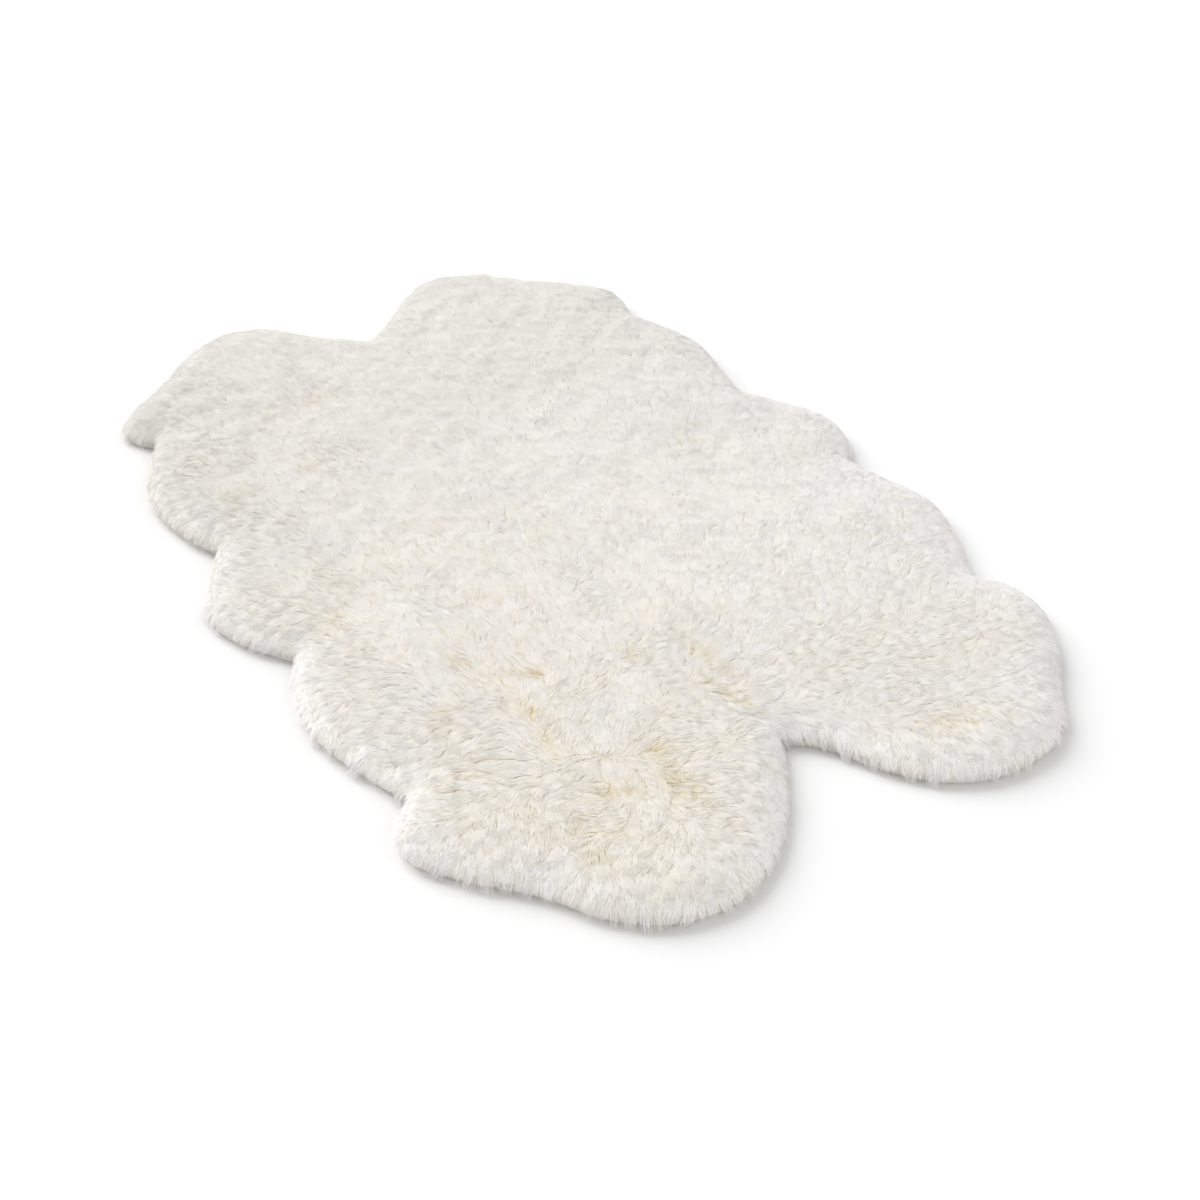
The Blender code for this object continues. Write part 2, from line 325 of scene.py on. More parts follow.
def acrossPelts(key):
    # a setting of the four pelts, changed smoothly from one pelt to the next
    right = np.clip(0.5 + (mapX - ground["seamX"]) / ground["mix"] / 2, 0, 1)
    far = np.clip(0.5 + (mapY - ground["seamY"]) / ground["mix"] / 2, 0, 1)
    near = wool["near_left"][key] * (1 - right) + wool["near_right"][key] * right
    return near * (1 - far) + (wool["far_left"][key] * (1 - right) + wool["far_right"][key] * right) * far


relief = blurred(np.max([tuftRelief(name) for name in pelts], axis=0), tufts["soft"])
atEdge = np.exp(-np.maximum(inwards, 0) / tufts["edgeReach"])
footPaintedLight = dict(gain=0.13, reach=0.012)  # painted light: how much brighter the wool's colour is made at the foot of its wall, to lift the shade that falls there
paintedFootLight = footPaintedLight["gain"] * np.exp(-np.maximum(inwards, 0) / footPaintedLight["reach"])
raised = (relief - tufts["level"]) * acrossPelts("relief") * (1 + tufts["edgeGain"] * atEdge)
# the wool rises from its rim as a quarter ellipse; its full height is the frame's, smoothed and carried out
rise = np.sqrt(1 - (1 - np.clip(inwards / ground["wall"], 0, 1)) ** 2)
known = (rise > ground["known"]).astype(float)
full = blurred((rawHeight - ground["rim"]) / np.maximum(rise, ground["known"]) * known, ground["broad"])
full /= np.maximum(blurred(known, ground["broad"]), 1e-6)
full = np.maximum(full, blurred(full, ground["bridge"]))
pushed = inwards + tufts["outwards"] * (relief - tufts["edgeLevel"])
rise = np.sqrt(1 - (1 - np.clip(pushed / ground["wall"], 0, 1)) ** 2)
skirt = ground["lip"] * (1 - np.clip(-pushed / ground["spill"], 0, 1) ** 2)
full += ground["rim"] - ground["lip"]
height = blurred(np.where(pushed > 0, ground["lip"] + full * rise, skirt), ground["soft"])
sunken = waves["parted"] * blurred(parted, ground["soft"])
surface = height + (rolling + raised - sunken) * np.clip(inwards / waves["full"], 0, 1)
slopeX, slopeY = np.gradient(surface, ground["step"])
meanRelief = round(float(relief[inwards > 0].mean()), 3)
print("surface: relief mean", meanRelief, "top", round(float(surface.max()), 4))


def surfaceNormal(x, y):
    # the upward normal of the wool's surface, from its slopes
    normal = np.stack([-sample(slopeX, x, y), -sample(slopeY, x, y), np.ones(x.shape)], axis=-1)
    return normal / np.linalg.norm(normal, axis=-1, keepdims=True)


class Value:
    # a socket that does sums: each operator adds a Math node
    def __init__(self, tree, socket):
        self.tree, self.socket = tree, socket

    def math(self, operation, *others, clamp=False):
        node = self.tree.nodes.new("ShaderNodeMath")
        node.operation, node.use_clamp = operation, clamp
        for into, item in zip(node.inputs, others):
            if isinstance(item, Value):
                self.tree.links.new(item.socket, into)
            else:
                into.default_value = item
        return Value(self.tree, node.outputs[0])

    def __add__(self, other):
        return self.math("ADD", self, other)

    def __mul__(self, other):
        return self.math("MULTIPLY", self, other)

    def __sub__(self, other):
        return self.math("SUBTRACT", self, other)

    def __rsub__(self, other):
        return self.math("SUBTRACT", other, self)

    __radd__, __rmul__ = __add__, __mul__

    def clipped(self):
        return self.math("ADD", self, 0.0, clamp=True)


class Finish:
    # one material: its Principled shader, and nodes added by type, settings and sockets
    def __init__(self, name, **constants):
        self.material = bpy.data.materials.new(name)
        self.material.use_nodes = True
        self.tree = self.material.node_tree
        self.shader = self.tree.nodes["Principled BSDF"]
        self.fill(self.shader, {key.replace("_", " "): value for key, value in constants.items()})

    def fill(self, node, sockets):
        for key, item in sockets.items():
            if isinstance(item, Value):
                self.tree.links.new(item.socket, node.inputs[key])
            else:
                node.inputs[key].default_value = item

    def node(self, kind, settings=None, sockets=None, output=0):
        made = self.tree.nodes.new("ShaderNode" + kind)
        for key, item in (settings or {}).items():
            setattr(made, key, item)
        self.fill(made, sockets or {})
        return Value(self.tree, made.outputs[output])

    def attribute(self, name):
        return self.node("Attribute", dict(attribute_name=name), output="Fac")

    def mixed(self, share, first, second, blend="MIX"):
        settings = dict(data_type="RGBA", blend_type=blend)
        return self.node("Mix", settings, {0: share, 6: first, 7: second}, output=2)


def linear(red, green, blue):
    # a colour as seen on screen, from 0 to 255, as the shader wants it
    seen = np.array([red, green, blue]) / 255
    return (*np.where(seen > 0.04045, ((seen + 0.055) / 1.055) ** 2.4, seen / 12.92), 1.0)


woolColours = dict(
    warmTip=linear(244, 240, 230), coolTip=linear(244, 242, 242),
    straw=linear(241, 232, 207), root=linear(225, 206, 163), far=linear(247, 246, 241))


def woolFinish(name, rootShare):
    # ivory wool: straw towards the roots and in the partings, and between the tufts, where it is partly
    # painted shade; warm near, cooler and a little darker far, with painted cool shade at the outline, and
    # each lock a little brighter or darker
    finish = Finish(name, Roughness=0.9, Sheen_Weight=0.45, Sheen_Roughness=0.5, Specular_IOR_Level=0.2)
    place = finish.node("TexCoord", output="Object")
    across, far = (finish.node("SeparateXYZ", sockets={"Vector": place}, output=k) for k in (0, 1))
    patch = finish.node("TexNoise", sockets={"Vector": place, "Scale": 9.0, "Detail": 3.0})
    along, tone, straw, pale = (finish.attribute(a) for a in ("along", "tone", "straw", "pale"))
    warmth = (0.2 - far * 0.5 - across * 0.3 + (patch - 0.5) * 1.2 + (0.5 - pale) * 0.5).clipped()
    tip = finish.mixed(warmth, woolColours["coolTip"], woolColours["warmTip"])
    rooty = ((1 - along) * rootShare + straw * 0.8).clipped()
    colour = finish.mixed(rooty, tip, woolColours["straw"])
    # where straw is strong near the roots the colour goes to the darker root colour; between the tufts that
    # is partly painted shade
    deep = (straw * (1 - along) * 1.6).clipped()
    colour = finish.mixed(deep, colour, woolColours["root"])
    shade = finish.node("CombineColor", sockets={"Red": tone, "Green": tone, "Blue": tone})
    colour = finish.mixed(1.0, colour, shade, blend="MULTIPLY")
    # the colour a little darker and cooler towards the far end
    darkerFar = finish.mixed((far * 1.6 + 0.4).clipped(), linear(255, 255, 255), woolColours["far"])
    colour = finish.mixed(1.0, colour, darkerFar, blend="MULTIPLY")
    finish.fill(finish.shader, {"Base Color": colour})
    return finish.material


def hideFinish(name):
    # suede skin: pale tan with soft cloudy patches and a fine nap
    finish = Finish(name, Roughness=0.95, Specular_IOR_Level=0.15)
    place = finish.node("TexCoord", output="Object")
    cloud = finish.node("TexNoise", sockets={"Vector": place, "Scale": 7.0, "Detail": 4.0})
    nap = finish.node("TexNoise", sockets={"Vector": place, "Scale": 900.0, "Detail": 2.0})
    colour = finish.mixed((cloud * 1.6 - 0.3).clipped(), linear(232, 220, 196), linear(214, 196, 164))
    colour = finish.mixed((nap * 0.5).clipped(), colour, linear(240, 232, 214))
    bump = finish.node("Bump", sockets={"Strength": 0.4, "Distance": 0.0004, "Height": nap}, output="Normal")
    finish.fill(finish.shader, {"Base Color": colour, "Normal": bump})
    return finish.material


def meshPiece(name, points, quads, triangles, material, values=None, uv=None, normals=None, smooth=True):
    # one object from whole arrays: quads and triangles are rows of point numbers
    mesh = bpy.data.meshes.new(name)
    corners = np.concatenate([np.ravel(quads), np.ravel(triangles)]).astype(np.int32)
    starts = np.concatenate([np.arange(len(quads)) * 4, len(quads) * 4 + np.arange(len(triangles)) * 3])
    mesh.vertices.add(len(points))
    mesh.vertices.foreach_set("co", np.ravel(points).astype(np.float32))
    mesh.loops.add(len(corners))
    mesh.loops.foreach_set("vertex_index", corners)
    mesh.polygons.add(len(starts))
    mesh.polygons.foreach_set("loop_start", starts.astype(np.int32))
    mesh.update(calc_edges=True)
    if smooth:
        mesh.shade_smooth()
    else:
        mesh.shade_flat()
    for key, numbers in (values or {}).items():
        layer = mesh.attributes.new(key, "FLOAT", "POINT")
        layer.data.foreach_set("value", np.ravel(numbers).astype(np.float32))
    if uv is not None:
        layer = mesh.uv_layers.new(name="OFBake")
        layer.data.foreach_set("uv", uv[corners].ravel().astype(np.float32))
    if normals is not None:
        mesh.normals_split_custom_set_from_vertices(normals)
    mesh.materials.append(material)
    piece = bpy.data.objects.new(name, mesh)
    bpy.context.scene.collection.objects.link(piece)
    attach(piece, "root")
    return piece


def unit(vectors):
    # the same vectors, one long
    return vectors / np.maximum(np.linalg.norm(vectors, axis=-1, keepdims=True), 1e-9)


def peltLoop(name, inset, count):
    # the pelt's edge as a loop about its centre, drawn in until it lies inset from the rug's outline
    sideX, sideY = pelts[name]
    centre = np.array([sideX * ground["centreX"], sideY * ground["centreY"]])
    flat = peltTriangles[name].reshape(-1, 3)
    rim = np.unique(np.round(flat[flat[:, 2] < 1e-5][:, :2], 6), axis=0)
    onSeam = (np.abs(rim - (ground["seamX"], ground["seamY"])) < ground["onSeam"]).any(axis=1)
    nearOutline = distanceTo(edges, *rim.T) < 1e-5
    rim = rim[onSeam | nearOutline]
    turn = np.arctan2(*(rim - centre).T[::-1])
    rim = rim[np.argsort(turn)]
    closed = np.concatenate([rim, rim[:1]])
    run = np.concatenate([[0], np.cumsum(np.hypot(*np.diff(closed, axis=0).T))])
    places = np.linspace(0, run[-1], count, endpoint=False)
    edge = np.stack([np.interp(places, run, closed[:, k]) for k in (0, 1)], axis=-1)
    crossing = (ground["seamX"], ground["seamY"])
    inner = rim[np.argmin(np.hypot(*(rim - crossing).T))]
    edge[np.argmin(np.hypot(*(edge - inner).T))] = inner
    shares = np.linspace(0.6, 1, 161)
    rays = centre + shares[None, :, None] * (edge - centre)[:, None]
    clear = sample(softInwards, rays[..., 0], rays[..., 1]) >= inset
    reach = shares[len(shares) - 1 - np.argmax(clear[:, ::-1], axis=1)]
    for _ in range(2):
        reach = reach / 2 + (np.roll(reach, 1) + np.roll(reach, -1)) / 4
    return centre, centre + reach[:, None] * (edge - centre)


def polarPoints(centre, loop, rings):
    # points from the centre out to the loop, closer together towards the loop: rings x count x 2
    shares = 1 - np.linspace(1, 0, rings + 1)[1:] ** 1.35
    return centre + shares[:, None, None] * (loop - centre)[None]


def shellFaces(rings, count):
    # faces of a closed shell: a polar grid with a pole above, a wall round the rim and a fan below
    ring = np.arange(count)
    after = np.roll(ring, -1)
    inner = (np.arange(rings - 1) * count)[:, None]
    upper = np.stack([inner + ring, inner + count + ring, inner + count + after, inner + after], axis=-1)
    rim, foot = (rings - 1) * count, rings * count
    wall = np.stack([rim + ring, foot + ring, foot + after, rim + after], axis=-1)
    poles = foot + count
    top = np.stack([np.full(count, poles), ring, after], axis=-1)
    bottom = np.stack([np.full(count, poles + 1), foot + after, foot + ring], axis=-1)
    return np.concatenate([upper.reshape(-1, 4), wall]), np.concatenate([top, bottom])


def shellPoints(flat, centre, upper, poleUpper, bottom, tuck=1.0):
    # the grid at its upper heights, the rim drawn in by tuck at the bottom's height, and the two poles
    top = np.concatenate([flat, upper[..., None]], axis=-1).reshape(-1, 3)
    foot = np.concatenate([centre + (flat[-1] - centre) * tuck, np.full((len(flat[-1]), 1), bottom)], axis=-1)
    return np.concatenate([top, foot, [(*centre, poleUpper), (*centre, bottom)]])


# the suede: how far it stays inside the wool's outline, its thickness, its height over the floor, which the
# stitches below it need, and its grid's points around and rings
hide = dict(inset=0.026, thickness=0.0022, lift=0.0008, around=260, rings=1)


def makeHide(name, material):
    # a flat sheet of suede under the wool, its edge drawn in from the wool's
    centre, loop = peltLoop(name, hide["inset"], hide["around"])
    flat = polarPoints(centre, loop, hide["rings"])
    level = hide["lift"] + hide["thickness"]
    upper = np.full(flat.shape[:2], level)
    points = shellPoints(flat, centre, upper, level, hide["lift"])
    quads, triangles = shellFaces(hide["rings"], hide["around"])
    piece = meshPiece("hide_" + name, points, quads, triangles, material, smooth=False)
    ring = flat[-1]
    after = np.roll(ring, -1, axis=0)
    area = abs(float((ring[:, 0] * after[:, 1] - ring[:, 1] * after[:, 0]).sum() / 2))
    size = ring.max(axis=0) - ring.min(axis=0)
    print("hide", name, "cut", np.round(size, 3), "area", round(area, 3))
    return piece


# the undercoat: how far it stays inside the outline and below the surface, its least height, its grid,
# its tone, the share of its size that its foot keeps, how near a seam it keeps it all, and how
# straw-coloured it is all over and where the wool is parted
undercoat = dict(inset=0.003, below=0.0010, least=0.004, around=250, rings=56, tone=0.865, tuck=0.996,
                 untucked=0.002, strawEven=0.3, strawParted=0.7)
edgeStraw = 0.9  # how much of the straw colour is gone at the outline


def makeUndercoat(name, material):
    # the dense wool below the locks: a little below the surface, with a flat bottom
    centre, loop = peltLoop(name, undercoat["inset"], undercoat["around"])
    flat = polarPoints(centre, loop, undercoat["rings"])

    def top(x, y):
        return np.maximum(sample(surface, x, y) - undercoat["below"], undercoat["least"])

    upper = top(flat[..., 0], flat[..., 1])
    poleUpper = float(top(*centre[:, None])[0])
    onSeam = (np.abs(loop - (ground["seamX"], ground["seamY"])) < undercoat["untucked"]).any(axis=1)
    tuck = np.where(onSeam, 1, undercoat["tuck"])[:, None]
    points = shellPoints(flat, centre, upper, poleUpper, hide["lift"] + hide["thickness"], tuck)
    quads, triangles = shellFaces(undercoat["rings"], undercoat["around"])
    straw = undercoat["strawEven"] + undercoat["strawParted"] * sample(parted, *points[:, :2].T)
    straw *= 1 - edgeStraw * sample(atEdge, *points[:, :2].T)
    even = np.ones(len(points))
    # the tone carries painted light at the foot of the wall
    tone = undercoat["tone"] + sample(paintedFootLight, *points[:, :2].T)
    values = dict(along=0.25 * even, tone=tone, straw=straw, pale=0.5 * even)
    piece = meshPiece("undercoat_" + name, points, quads, triangles, material, values)
    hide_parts("pelt_" + name)
    return piece


# the thread along the seams, on the suede side: how far apart the stitches are, half their length, the
# thread's radius, how they slant, the tube's sides and sections, and how far short of the suede's edge they
# stop; each pelt has one of the four legs of the seams
stitches = dict(every=0.008, half=0.0028, radius=0.00036, slant=0.45, sides=5, sections=4, short=0.008)
seamLegs = dict(far_left=(-1, 0), far_right=(0, 1), near_left=(0, -1), near_right=(1, 0))


def makeStitches(name, material):
    # slanted stitches over a seam, each a short tube whose ends rise, by the fourth power, into the suede
    forward = np.array(seamLegs[name])
    side = np.array([forward[1], -forward[0]])
    crossing = np.array([ground["seamX"], ground["seamY"]])
    places = np.arange(stitches["every"] / 2, 1, stitches["every"])
    line = crossing + places[:, None] * forward
    places = places[sample(inwards, *line.T) > hide["inset"] + stitches["short"]]
    turn = np.linspace(0, 2 * np.pi, stitches["sides"], endpoint=False)
    run = np.linspace(-1, 1, stitches["sections"] + 1)[:, None]
    level = stitches["radius"] * 1.05 + hide["lift"] * run ** 4
    across = np.repeat(run * stitches["half"], stitches["sides"], axis=1)
    ahead = across * stitches["slant"] + stitches["radius"] * np.cos(turn)
    tube = np.stack([across, ahead, level + stitches["radius"] * np.sin(turn)], axis=-1).reshape(-1, 3)
    tip = np.array([stitches["half"], stitches["half"] * stitches["slant"], 0])
    lift = np.array([0, 0, level[0, 0]])
    one = np.concatenate([tube, [lift - tip, lift + tip]])
    flat = crossing + one[None, :, :1] * side + (one[None, :, 1:2] + places[:, None, None]) * forward
    height = np.broadcast_to(one[:, 2], flat.shape[:2])
    points = np.concatenate([flat, height[..., None]], axis=-1).reshape(-1, 3)
    sides = stitches["sides"]
    k = np.arange(sides)
    after, bands = np.roll(k, -1), (np.arange(stitches["sections"]) * sides)[:, None]
    quads = np.stack([bands + k, bands + after, bands + sides + after, bands + sides + k], axis=-1)
    last, tips = stitches["sections"] * sides, np.full(sides, len(one) - 2)
    triangles = np.concatenate([np.stack([tips, after, k], axis=-1),
                                np.stack([tips + 1, last + k, last + after], axis=-1)])
    base = (np.arange(len(places)) * len(one))[:, None, None]
    print("stitches", name, len(places))
    return meshPiece("stitches_" + name, points, (base + quads.reshape(-1, 4)).reshape(-1, 4),
                     (base + triangles).reshape(-1, 3), material)


# three kinds of strand. most: how many a pelt may have. spacing: of the grid that their places lie in.
# inset: how far inside the outline these stay. depth: the root's, below the surface. stations: where along
# a strand its points lie, as shares of its length, and taper: the width at each of those between its
# ends. jitter: how far it turns from its tuft, in degrees. roll: how far it is turned about itself, in
# radians. back: how far behind its place it is rooted, as a share of its length. pull: how much of the
# way its tip is drawn to its tuft's own. drop: how much lower it is rooted a tuft's spacing off its centre.
# tone: how light it is, and streak: how much that varies. past: how far beyond the outline a tip may end.
# sink: how far a tip may droop. strays: the share of strands that stand out from the rest, with strayTurn
# and strayLoft of their own. reach: how far in the fringe grows. spread: how fast the comb fans out, per
# metre, where curls begin, and where they are at their closest
locks = dict(
    seed=200, most=85000, spacing=0.00158, inset=0.006, length=(0.024, 0.038), width=(0.0013, 0.0023),
    depth=(0.0002, 0.0012), steps=5, stations=(0, 0.4, 1), taper=(1.0,), jitter=11, roll=0.06, back=0.3,
    pull=0.4, drop=0.0003, tone=0.955, streak=0.010, past=(0.001, 0.008), sink=0.0, strays=0.02,
    strayTurn=40, strayLoft=0.004)
# the fringe's tone, lower than the locks', is painted shade: the wool on the outline's wall is made darker,
# as that wall stands in shade
fringe = dict(
    seed=300, most=7500, spacing=0.0028, inset=0.002, length=(0.038, 0.062), width=(0.0008, 0.0015),
    depth=(0.0004, 0.0016), steps=7, stations=(0, 0.3, 0.62, 1), taper=(1.0, 0.8), jitter=9, roll=0.10,
    back=0.1, pull=0.45, drop=0.0006, tone=0.85, streak=0.040, past=(0.001, 0.014), sink=0.010,
    strays=0.04, strayTurn=30, strayLoft=0.005, reach=0.040)
curls = dict(
    seed=400, most=3500, spacing=0.0018, inset=0.03, length=(0.010, 0.019), width=(0.0013, 0.0024),
    depth=(0.0003, 0.0012), steps=4, stations=(0, 0.3, 0.7, 1), taper=(1.0, 0.8), jitter=45, roll=0.15,
    back=0.4, pull=0.0, drop=0.0003, tone=0.955, streak=0.012, past=(0.001, 0.005), sink=0.0,
    strays=0.0, strayTurn=0, strayLoft=0.0, spread=(14, 34))


def jitteredPoints(name, spacing, rng, keep):
    # a point at random in each square of a grid over the pelt, where keep allows it, in random order;
    # fewer and fewer lie up to the tufts' overlap across the seams, so that the wool of two pelts mixes
    sideX, sideY = pelts[name]
    over = tufts["over"]
    nx, ny = (int((reach + over) / spacing) for reach in tufts["reach"])
    i, j = np.meshgrid(np.arange(nx), np.arange(ny), indexing="ij")
    inX = (i + rng.random(i.shape)) * spacing - over
    inY = (j + rng.random(j.shape)) * spacing - over
    x, y = ground["seamX"] + sideX * inX, ground["seamY"] + sideY * inY
    kept = keep(x, y) & (np.minimum(inX, inY) > -over * rng.random(i.shape))
    x, y = x[kept], y[kept]
    order = rng.permutation(len(x))
    return x[order], y[order]


def tuftOf(name, x, y):
    # the nearest tuft's centre, and its own random numbers
    centreX, centreY, own = tuftCentres(name)
    i0 = ((x - tufts["left"]) / wool[name]["clump"]).astype(int)
    j0 = ((y - tufts["near"]) / wool[name]["clump"]).astype(int)
    best = np.full(x.shape, np.inf)
    found = np.zeros((2,) + x.shape, int)
    for di in (-1, 0, 1):
        for dj in (-1, 0, 1):
            i, j = (np.clip(k, 0, n - 1) for k, n in zip((i0 + di, j0 + dj), centreX.shape))
            away = np.hypot(centreX[i, j] - x, centreY[i, j] - y)
            nearer = away < best
            best = np.where(nearer, away, best)
            found = np.where(nearer, (i, j), found)
    i, j = found
    return centreX[i, j], centreY[i, j], own[i, j]


def march(name, x, y, length, turn, segments, past):
    # positions along the wool's surface: short steps the way of the comb, shorter where it is steep, and
    # none further than past beyond the outline
    combX, combY = combs[name]
    lineX, lineY = [x], [y]
    for _ in range(segments):
        u, v = sample(combX, x, y), sample(combY, x, y)
        size = np.maximum(np.hypot(u, v), 1e-9)
        c, s = np.cos(turn) / size, np.sin(turn) / size
        u, v = u * c - v * s, u * s + v * c
        slope = np.clip(sample(slopeX, x, y) * u + sample(slopeY, x, y) * v, -3, 3)
        step = length / segments / np.sqrt(1 + slope ** 2)
        step = np.minimum(step, np.maximum(sample(inwards, x, y) + past, 0))
        x, y = x + step * u, y + step * v
        lineX.append(x)
        lineY.append(y)
    return np.stack(lineX, axis=1), np.stack(lineY, axis=1)


def respaced(x, y, shares):
    # the same paths with their points at given shares of each path's length
    run = np.cumsum(np.hypot(np.diff(x, axis=1), np.diff(y, axis=1)), axis=1)
    run = np.concatenate([np.zeros((len(x), 1)), run], axis=1)
    rows = np.arange(len(x))
    newX, newY = [], []
    for share in shares:
        goal = share * run[:, -1]
        k = np.clip((run <= goal[:, None]).sum(axis=1) - 1, 0, run.shape[1] - 2)
        part = (goal - run[rows, k]) / np.maximum(run[rows, k + 1] - run[rows, k], 1e-9)
        newX.append(x[rows, k] + (x[rows, k + 1] - x[rows, k]) * part)
        newY.append(y[rows, k] + (y[rows, k + 1] - y[rows, k]) * part)
    return np.stack(newX, axis=1), np.stack(newY, axis=1)


def rootOf(name, x, y, back, turn):
    # where a strand is rooted: a little way back from its place, against the comb
    lineX, lineY = march(name, x, y, back, turn + np.pi, 2, 0.0)
    return lineX[:, -1], lineY[:, -1]


def growStrands(name, x, y, look, rng):
    # each strand runs from below the surface up to it and along it; its tuft draws it in towards the tip
    # and lifts it
    count, t = len(x), np.array(look["stations"])
    tuftX, tuftY, own = tuftOf(name, x, y)
    partHere = sample(parted, x, y)
    stretch = (0.75 + 0.5 * own[:, 0]) * (1 - 0.3 * partHere)
    length = rng.uniform(*look["length"], count) * stretch
    turn = tuftTurn(own) + np.radians(look["jitter"]) * rng.normal(0, 1, count)
    shortest, longest = look["past"]
    past = shortest + (longest - shortest) * (0.6 * own[:, 2] ** 2 + 0.4 * rng.random(count))
    stray = (rng.random(count) < look["strays"])[:, None]
    turn += stray[:, 0] * np.radians(look["strayTurn"]) * rng.normal(0, 1, count)
    root = rootOf(name, x, y, length * look["back"], turn)
    px, py = respaced(*march(name, *root, length, turn, look["steps"], past), t)
    middle = np.mean(look["length"]) * stretch
    root = rootOf(name, tuftX, tuftY, middle * look["back"], tuftTurn(own))
    cx, cy = respaced(*march(name, *root, middle, tuftTurn(own), look["steps"], past), t)
    pull = look["pull"] * rng.uniform(0.6, 1, (count, 1)) * t ** 1.4 * ~stray
    px, py = px + (cx - px) * pull, py + (cy - py) * pull
    normal = surfaceNormal(px, py)
    depth = rng.uniform(*look["depth"], count)[:, None] * (1 - t) ** 1.6
    loft = wool[name]["loft"] * (own[:, 2:3] * 1.6 + rng.normal(0, 0.35, (count, 1))) * t ** 1.5
    loft += stray * look["strayLoft"] * rng.random((count, 1)) * t ** 1.5
    off = np.hypot(x - tuftX, y - tuftY)[:, None] / wool[name]["clump"]
    drop = look["drop"] * off * (1 - t ** 2) + look["sink"] * own[:, 3:4] * t ** 2
    line = np.stack([px, py, sample(surface, px, py)], axis=-1)
    line = line + normal * (loft - depth - drop)[..., None]
    line[..., 2] = np.maximum(line[..., 2], 0.0008 + 0.0012 * rng.random((count, 1)))
    straw = 1.8 * partHere * rng.random(count) ** 1.5
    # between the tufts the strands take straw colour: partly their roots' own, partly painted shade in the
    # hollows
    straw += wool[name]["straw"] * (1 - sample(relief, px[:, 1], py[:, 1])) * rng.random(count)
    edge = sample(atEdge, px[:, -1], py[:, -1])
    straw *= 1 - edgeStraw * edge
    # pale differs at random by tuft, and at the outline it rises, making the tips cooler: a painted cool
    # shade
    pale = own[:, 0] + edge
    return t, line, normal, own, straw, pale, stray


def ribbons(kind, name, grown, look, rng, material):
    # each strand is a spindle with its flat side out: a point at its root and its tip, and pairs between
    # them
    t, line, normal, own, straw, pale, stray = grown
    count, stations = line.shape[:2]
    tangent = unit(np.gradient(line, axis=1))
    side = unit(np.cross(tangent, normal))
    roll = look["roll"] * rng.normal(0, 1, (count, 1, 1))
    side = unit(side * np.cos(roll) + np.cross(tangent, side) * np.sin(roll))
    outwards = np.cross(side, tangent)
    halfWidth = rng.uniform(*look["width"], count)[:, None] / 2 * np.array(look["taper"])
    halfWidth = halfWidth * np.where(stray, 0.4, 1)
    # a strand that is folded back, or cut short, is narrowed, so that it makes no wide flap
    span = np.linalg.norm(line[:, -1] - line[:, 0], axis=1)
    halfWidth = halfWidth * np.clip(span / look["length"][0], 0.1, 1)[:, None] ** 2
    reach = side[:, 1:-1] * halfWidth[..., None]
    pairs = np.stack([line[:, 1:-1] - reach, line[:, 1:-1] + reach], axis=2).reshape(count, -1, 3)
    points = np.concatenate([line[:, :1], pairs, line[:, -1:]], axis=1)
    each = 2 * stations - 2
    base = (np.arange(count) * each)[:, None]
    k = np.arange(1, each - 3, 2)[:, None]
    quads = base[..., None] + np.concatenate([k, k + 1, k + 3, k + 2], axis=1)[None]
    triangles = np.concatenate([base + np.array([0, 2, 1]), base + np.array([each - 3, each - 2, each - 1])])
    soft = unit(0.1 * outwards + 0.9 * normal)
    tilt = 0.12 * side[:, 1:-1]
    softPairs = np.stack([soft[:, 1:-1] - tilt, soft[:, 1:-1] + tilt], axis=2).reshape(count, -1, 3)
    shading = np.concatenate([soft[:, :1], softPairs, soft[:, -1:]], axis=1)
    shading[..., 2] = np.maximum(shading[..., 2], 0.02)
    along = np.concatenate([[0.0], np.repeat(t[1:-1], 2), [1.0]])
    tone = look["tone"] + 0.015 * own[:, 3] + look["streak"] * rng.normal(0, 1, count)
    # painted light: the tone is raised at the foot of the wall, where shade falls
    tone += sample(paintedFootLight, line[:, -1, 0], line[:, -1, 1])
    values = dict(along=np.tile(along, count), tone=np.repeat(tone, each), straw=np.repeat(straw, each),
                  pale=np.repeat(pale, each))
    across = np.concatenate([[0.5], np.tile([0.12, 0.88], stations - 2), [0.5]])
    cells = int(np.ceil(np.sqrt(count)))
    number = np.arange(count)
    corner = np.stack([number % cells, number // cells], axis=-1)[:, None]
    uv = (corner + np.stack([across, 0.12 + 0.76 * along], axis=-1)) / cells
    return meshPiece(kind + "_" + name, points.reshape(-1, 3), quads.reshape(-1, 4), triangles, material,
                     values, uv.reshape(-1, 2), unit(shading).reshape(-1, 3))


def strandPiece(kind, name, look, keep, material):
    # one kind of strand on one pelt, placed where keep, a function of x, y and the random numbers, allows
    rng = np.random.default_rng(wool[name]["seed"] + look["seed"])
    x, y = jitteredPoints(name, look["spacing"], rng, lambda a, b: keep(a, b, rng))
    x, y = x[:look["most"]], y[:look["most"]]
    piece = ribbons(kind, name, growStrands(name, x, y, look, rng), look, rng, material)
    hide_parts("pelt_" + name)
    "wool_" + name
    print(kind, name, len(x), "strands")
    return piece


def makeLocks(name, material):
    # the wool's upper locks, all over the pelt
    def keep(x, y, rng):
        return sample(inwards, x, y) > locks["inset"]

    return strandPiece("locks", name, locks, keep, material)


def makeFringe(name, material):
    # longer locks along the outline, which hang down to the floor
    def keep(x, y, rng):
        d = sample(inwards, x, y)
        return (d > fringe["inset"]) & (d < fringe["reach"] * (0.35 + 0.65 * rng.random(x.shape)))

    return strandPiece("fringe", name, fringe, keep, material)


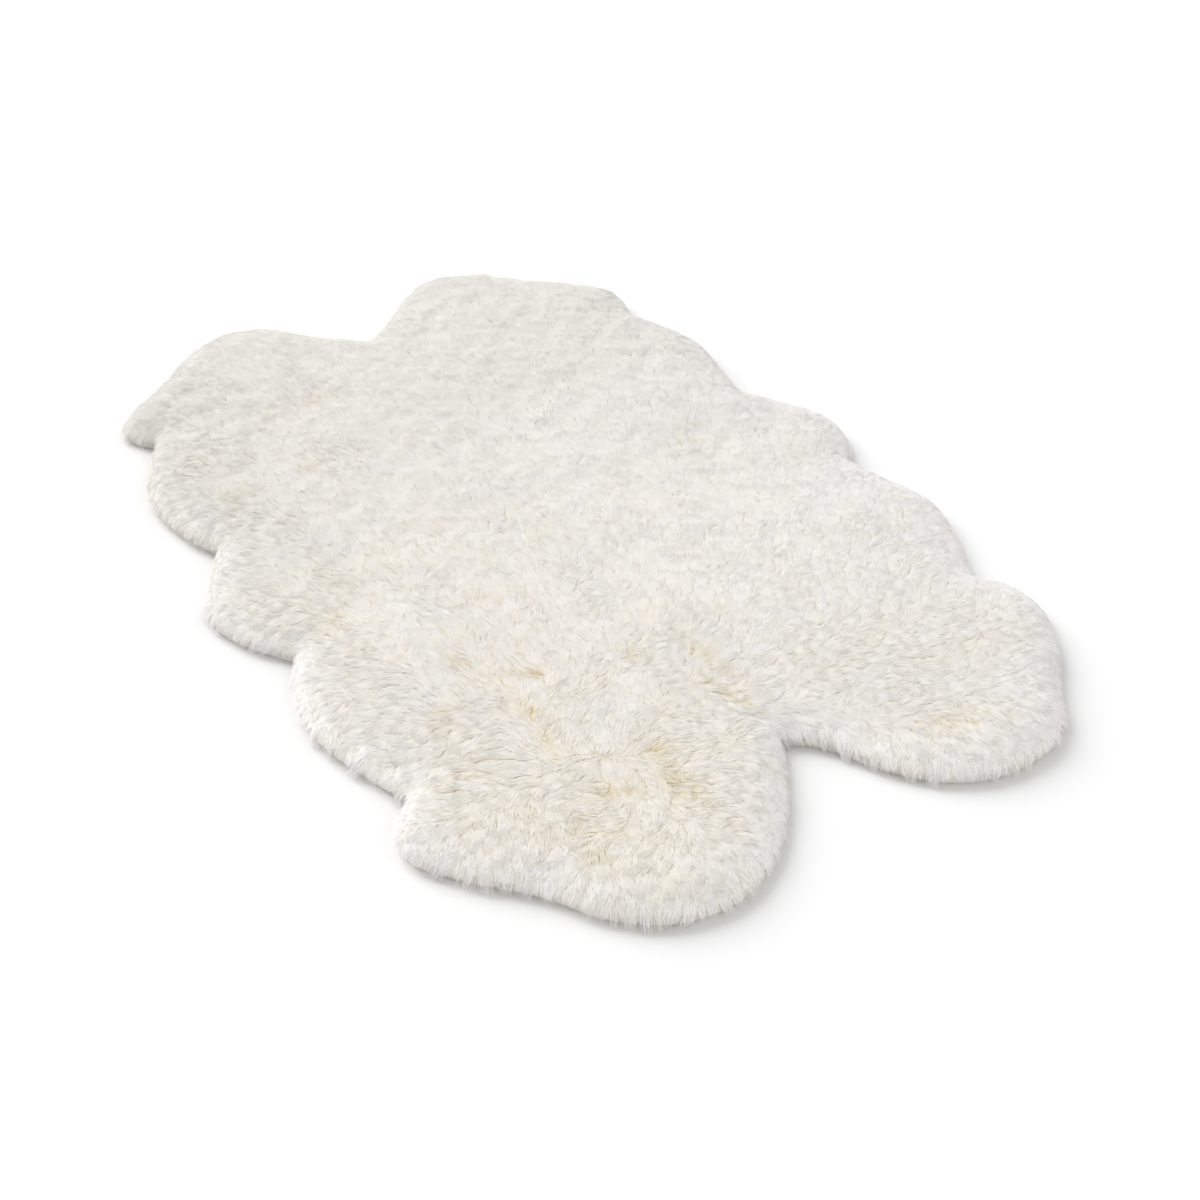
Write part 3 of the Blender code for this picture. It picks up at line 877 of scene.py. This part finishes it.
def makeCurls(name, material):
    # short curls in every direction where the comb fans out and the wool's roots would show bare
    combX, combY = combs[name]
    spread = np.gradient(combX, ground["step"], axis=0) + np.gradient(combY, ground["step"], axis=1)
    begin, closest = curls["spread"]
    bare = np.clip((blurred(spread, ground["soft"]) - begin) / (closest - begin), 0, 1)
    bare *= inwards > curls["inset"]

    def keep(x, y, rng):
        return sample(bare, x, y) > rng.random(x.shape)

    return strandPiece("curls", name, curls, keep, material)


woolMaterial = woolFinish("wool", 0.12)
undercoatMaterial = woolFinish("wool_undercoat", 0.15)
suede = hideFinish("suede")
thread = Finish("thread", Base_Color=linear(226, 214, 190), Roughness=0.7).material
pieces = []
for name in pelts:
    worn = [makeUndercoat(name, undercoatMaterial)]
    worn += [make(name, woolMaterial) for make in (makeLocks, makeFringe, makeCurls)]
    worn += [makeStitches(name, thread)]
    pieces += worn + [makeHide(name, suede)]
triangleCount = sum(len(piece.data.loops) - 2 * len(piece.data.polygons) for piece in pieces)
print("made", len(pieces), "pieces,", triangleCount, "triangles")

# the camera: its place, how far it looks down and to the right of +Y, in degrees, its lens and its sensor
view = dict(place=(-1.075, -1.960, 1.482), down=36.7, heading=31.14, lens=46.2, sensor=36.0)
# the floor's side and colour, the sky's strength, and each lamp's strength, width, height and turn
studio = dict(
    floor=14.0, floorColour=(0.93, 0.93, 0.93, 1), sky=0.63,
    lamps=(dict(sun=2.30, soft=46, height=34, turn=106), dict(sun=0.55, soft=60, height=20, turn=300)))


def makeCamera():
    # the camera that the photo's outline was matched with
    camera = bpy.data.objects.new("camera", bpy.data.cameras.new("camera"))
    camera.data.lens, camera.data.sensor_width = view["lens"], view["sensor"]
    camera.location = view["place"]
    camera.rotation_euler = (np.radians(90 - view["down"]), 0, -np.radians(view["heading"]))
    bpy.context.scene.collection.objects.link(camera)
    bpy.context.scene.camera = camera


def makeStudio():
    # a white floor just below the rug, an even white sky, one large soft lamp and a weak low one
    size = studio["floor"] / 2
    corners = [(-size, -size, 0), (size, -size, 0), (size, size, 0), (-size, size, 0)]
    mesh = bpy.data.meshes.new("floor")
    mesh.from_pydata(corners, [], [(0, 1, 2, 3)])
    floor = bpy.data.objects.new("floor", mesh)
    bpy.context.scene.collection.objects.link(floor)
    mesh.materials.append(Finish("floor", Base_Color=studio["floorColour"], Roughness=0.9).material)
    floor.location.z = -0.0004
    world = bpy.data.worlds.new("studio")
    world.use_nodes = True
    world.node_tree.nodes["Background"].inputs["Color"].default_value = (1, 1, 1, 1)
    world.node_tree.nodes["Background"].inputs["Strength"].default_value = studio["sky"]
    bpy.context.scene.world = world
    for look in studio["lamps"]:
        lamp = bpy.data.lights.new("lamp", "SUN")
        lamp.energy, lamp.angle = look["sun"], np.radians(look["soft"])
        placed = bpy.data.objects.new("lamp", lamp)
        placed.rotation_euler = (0, np.radians(90 - look["height"]), np.radians(look["turn"]))
        bpy.context.scene.collection.objects.link(placed)
    bpy.context.scene.view_settings.view_transform = "Standard"


makeCamera()
makeStudio()
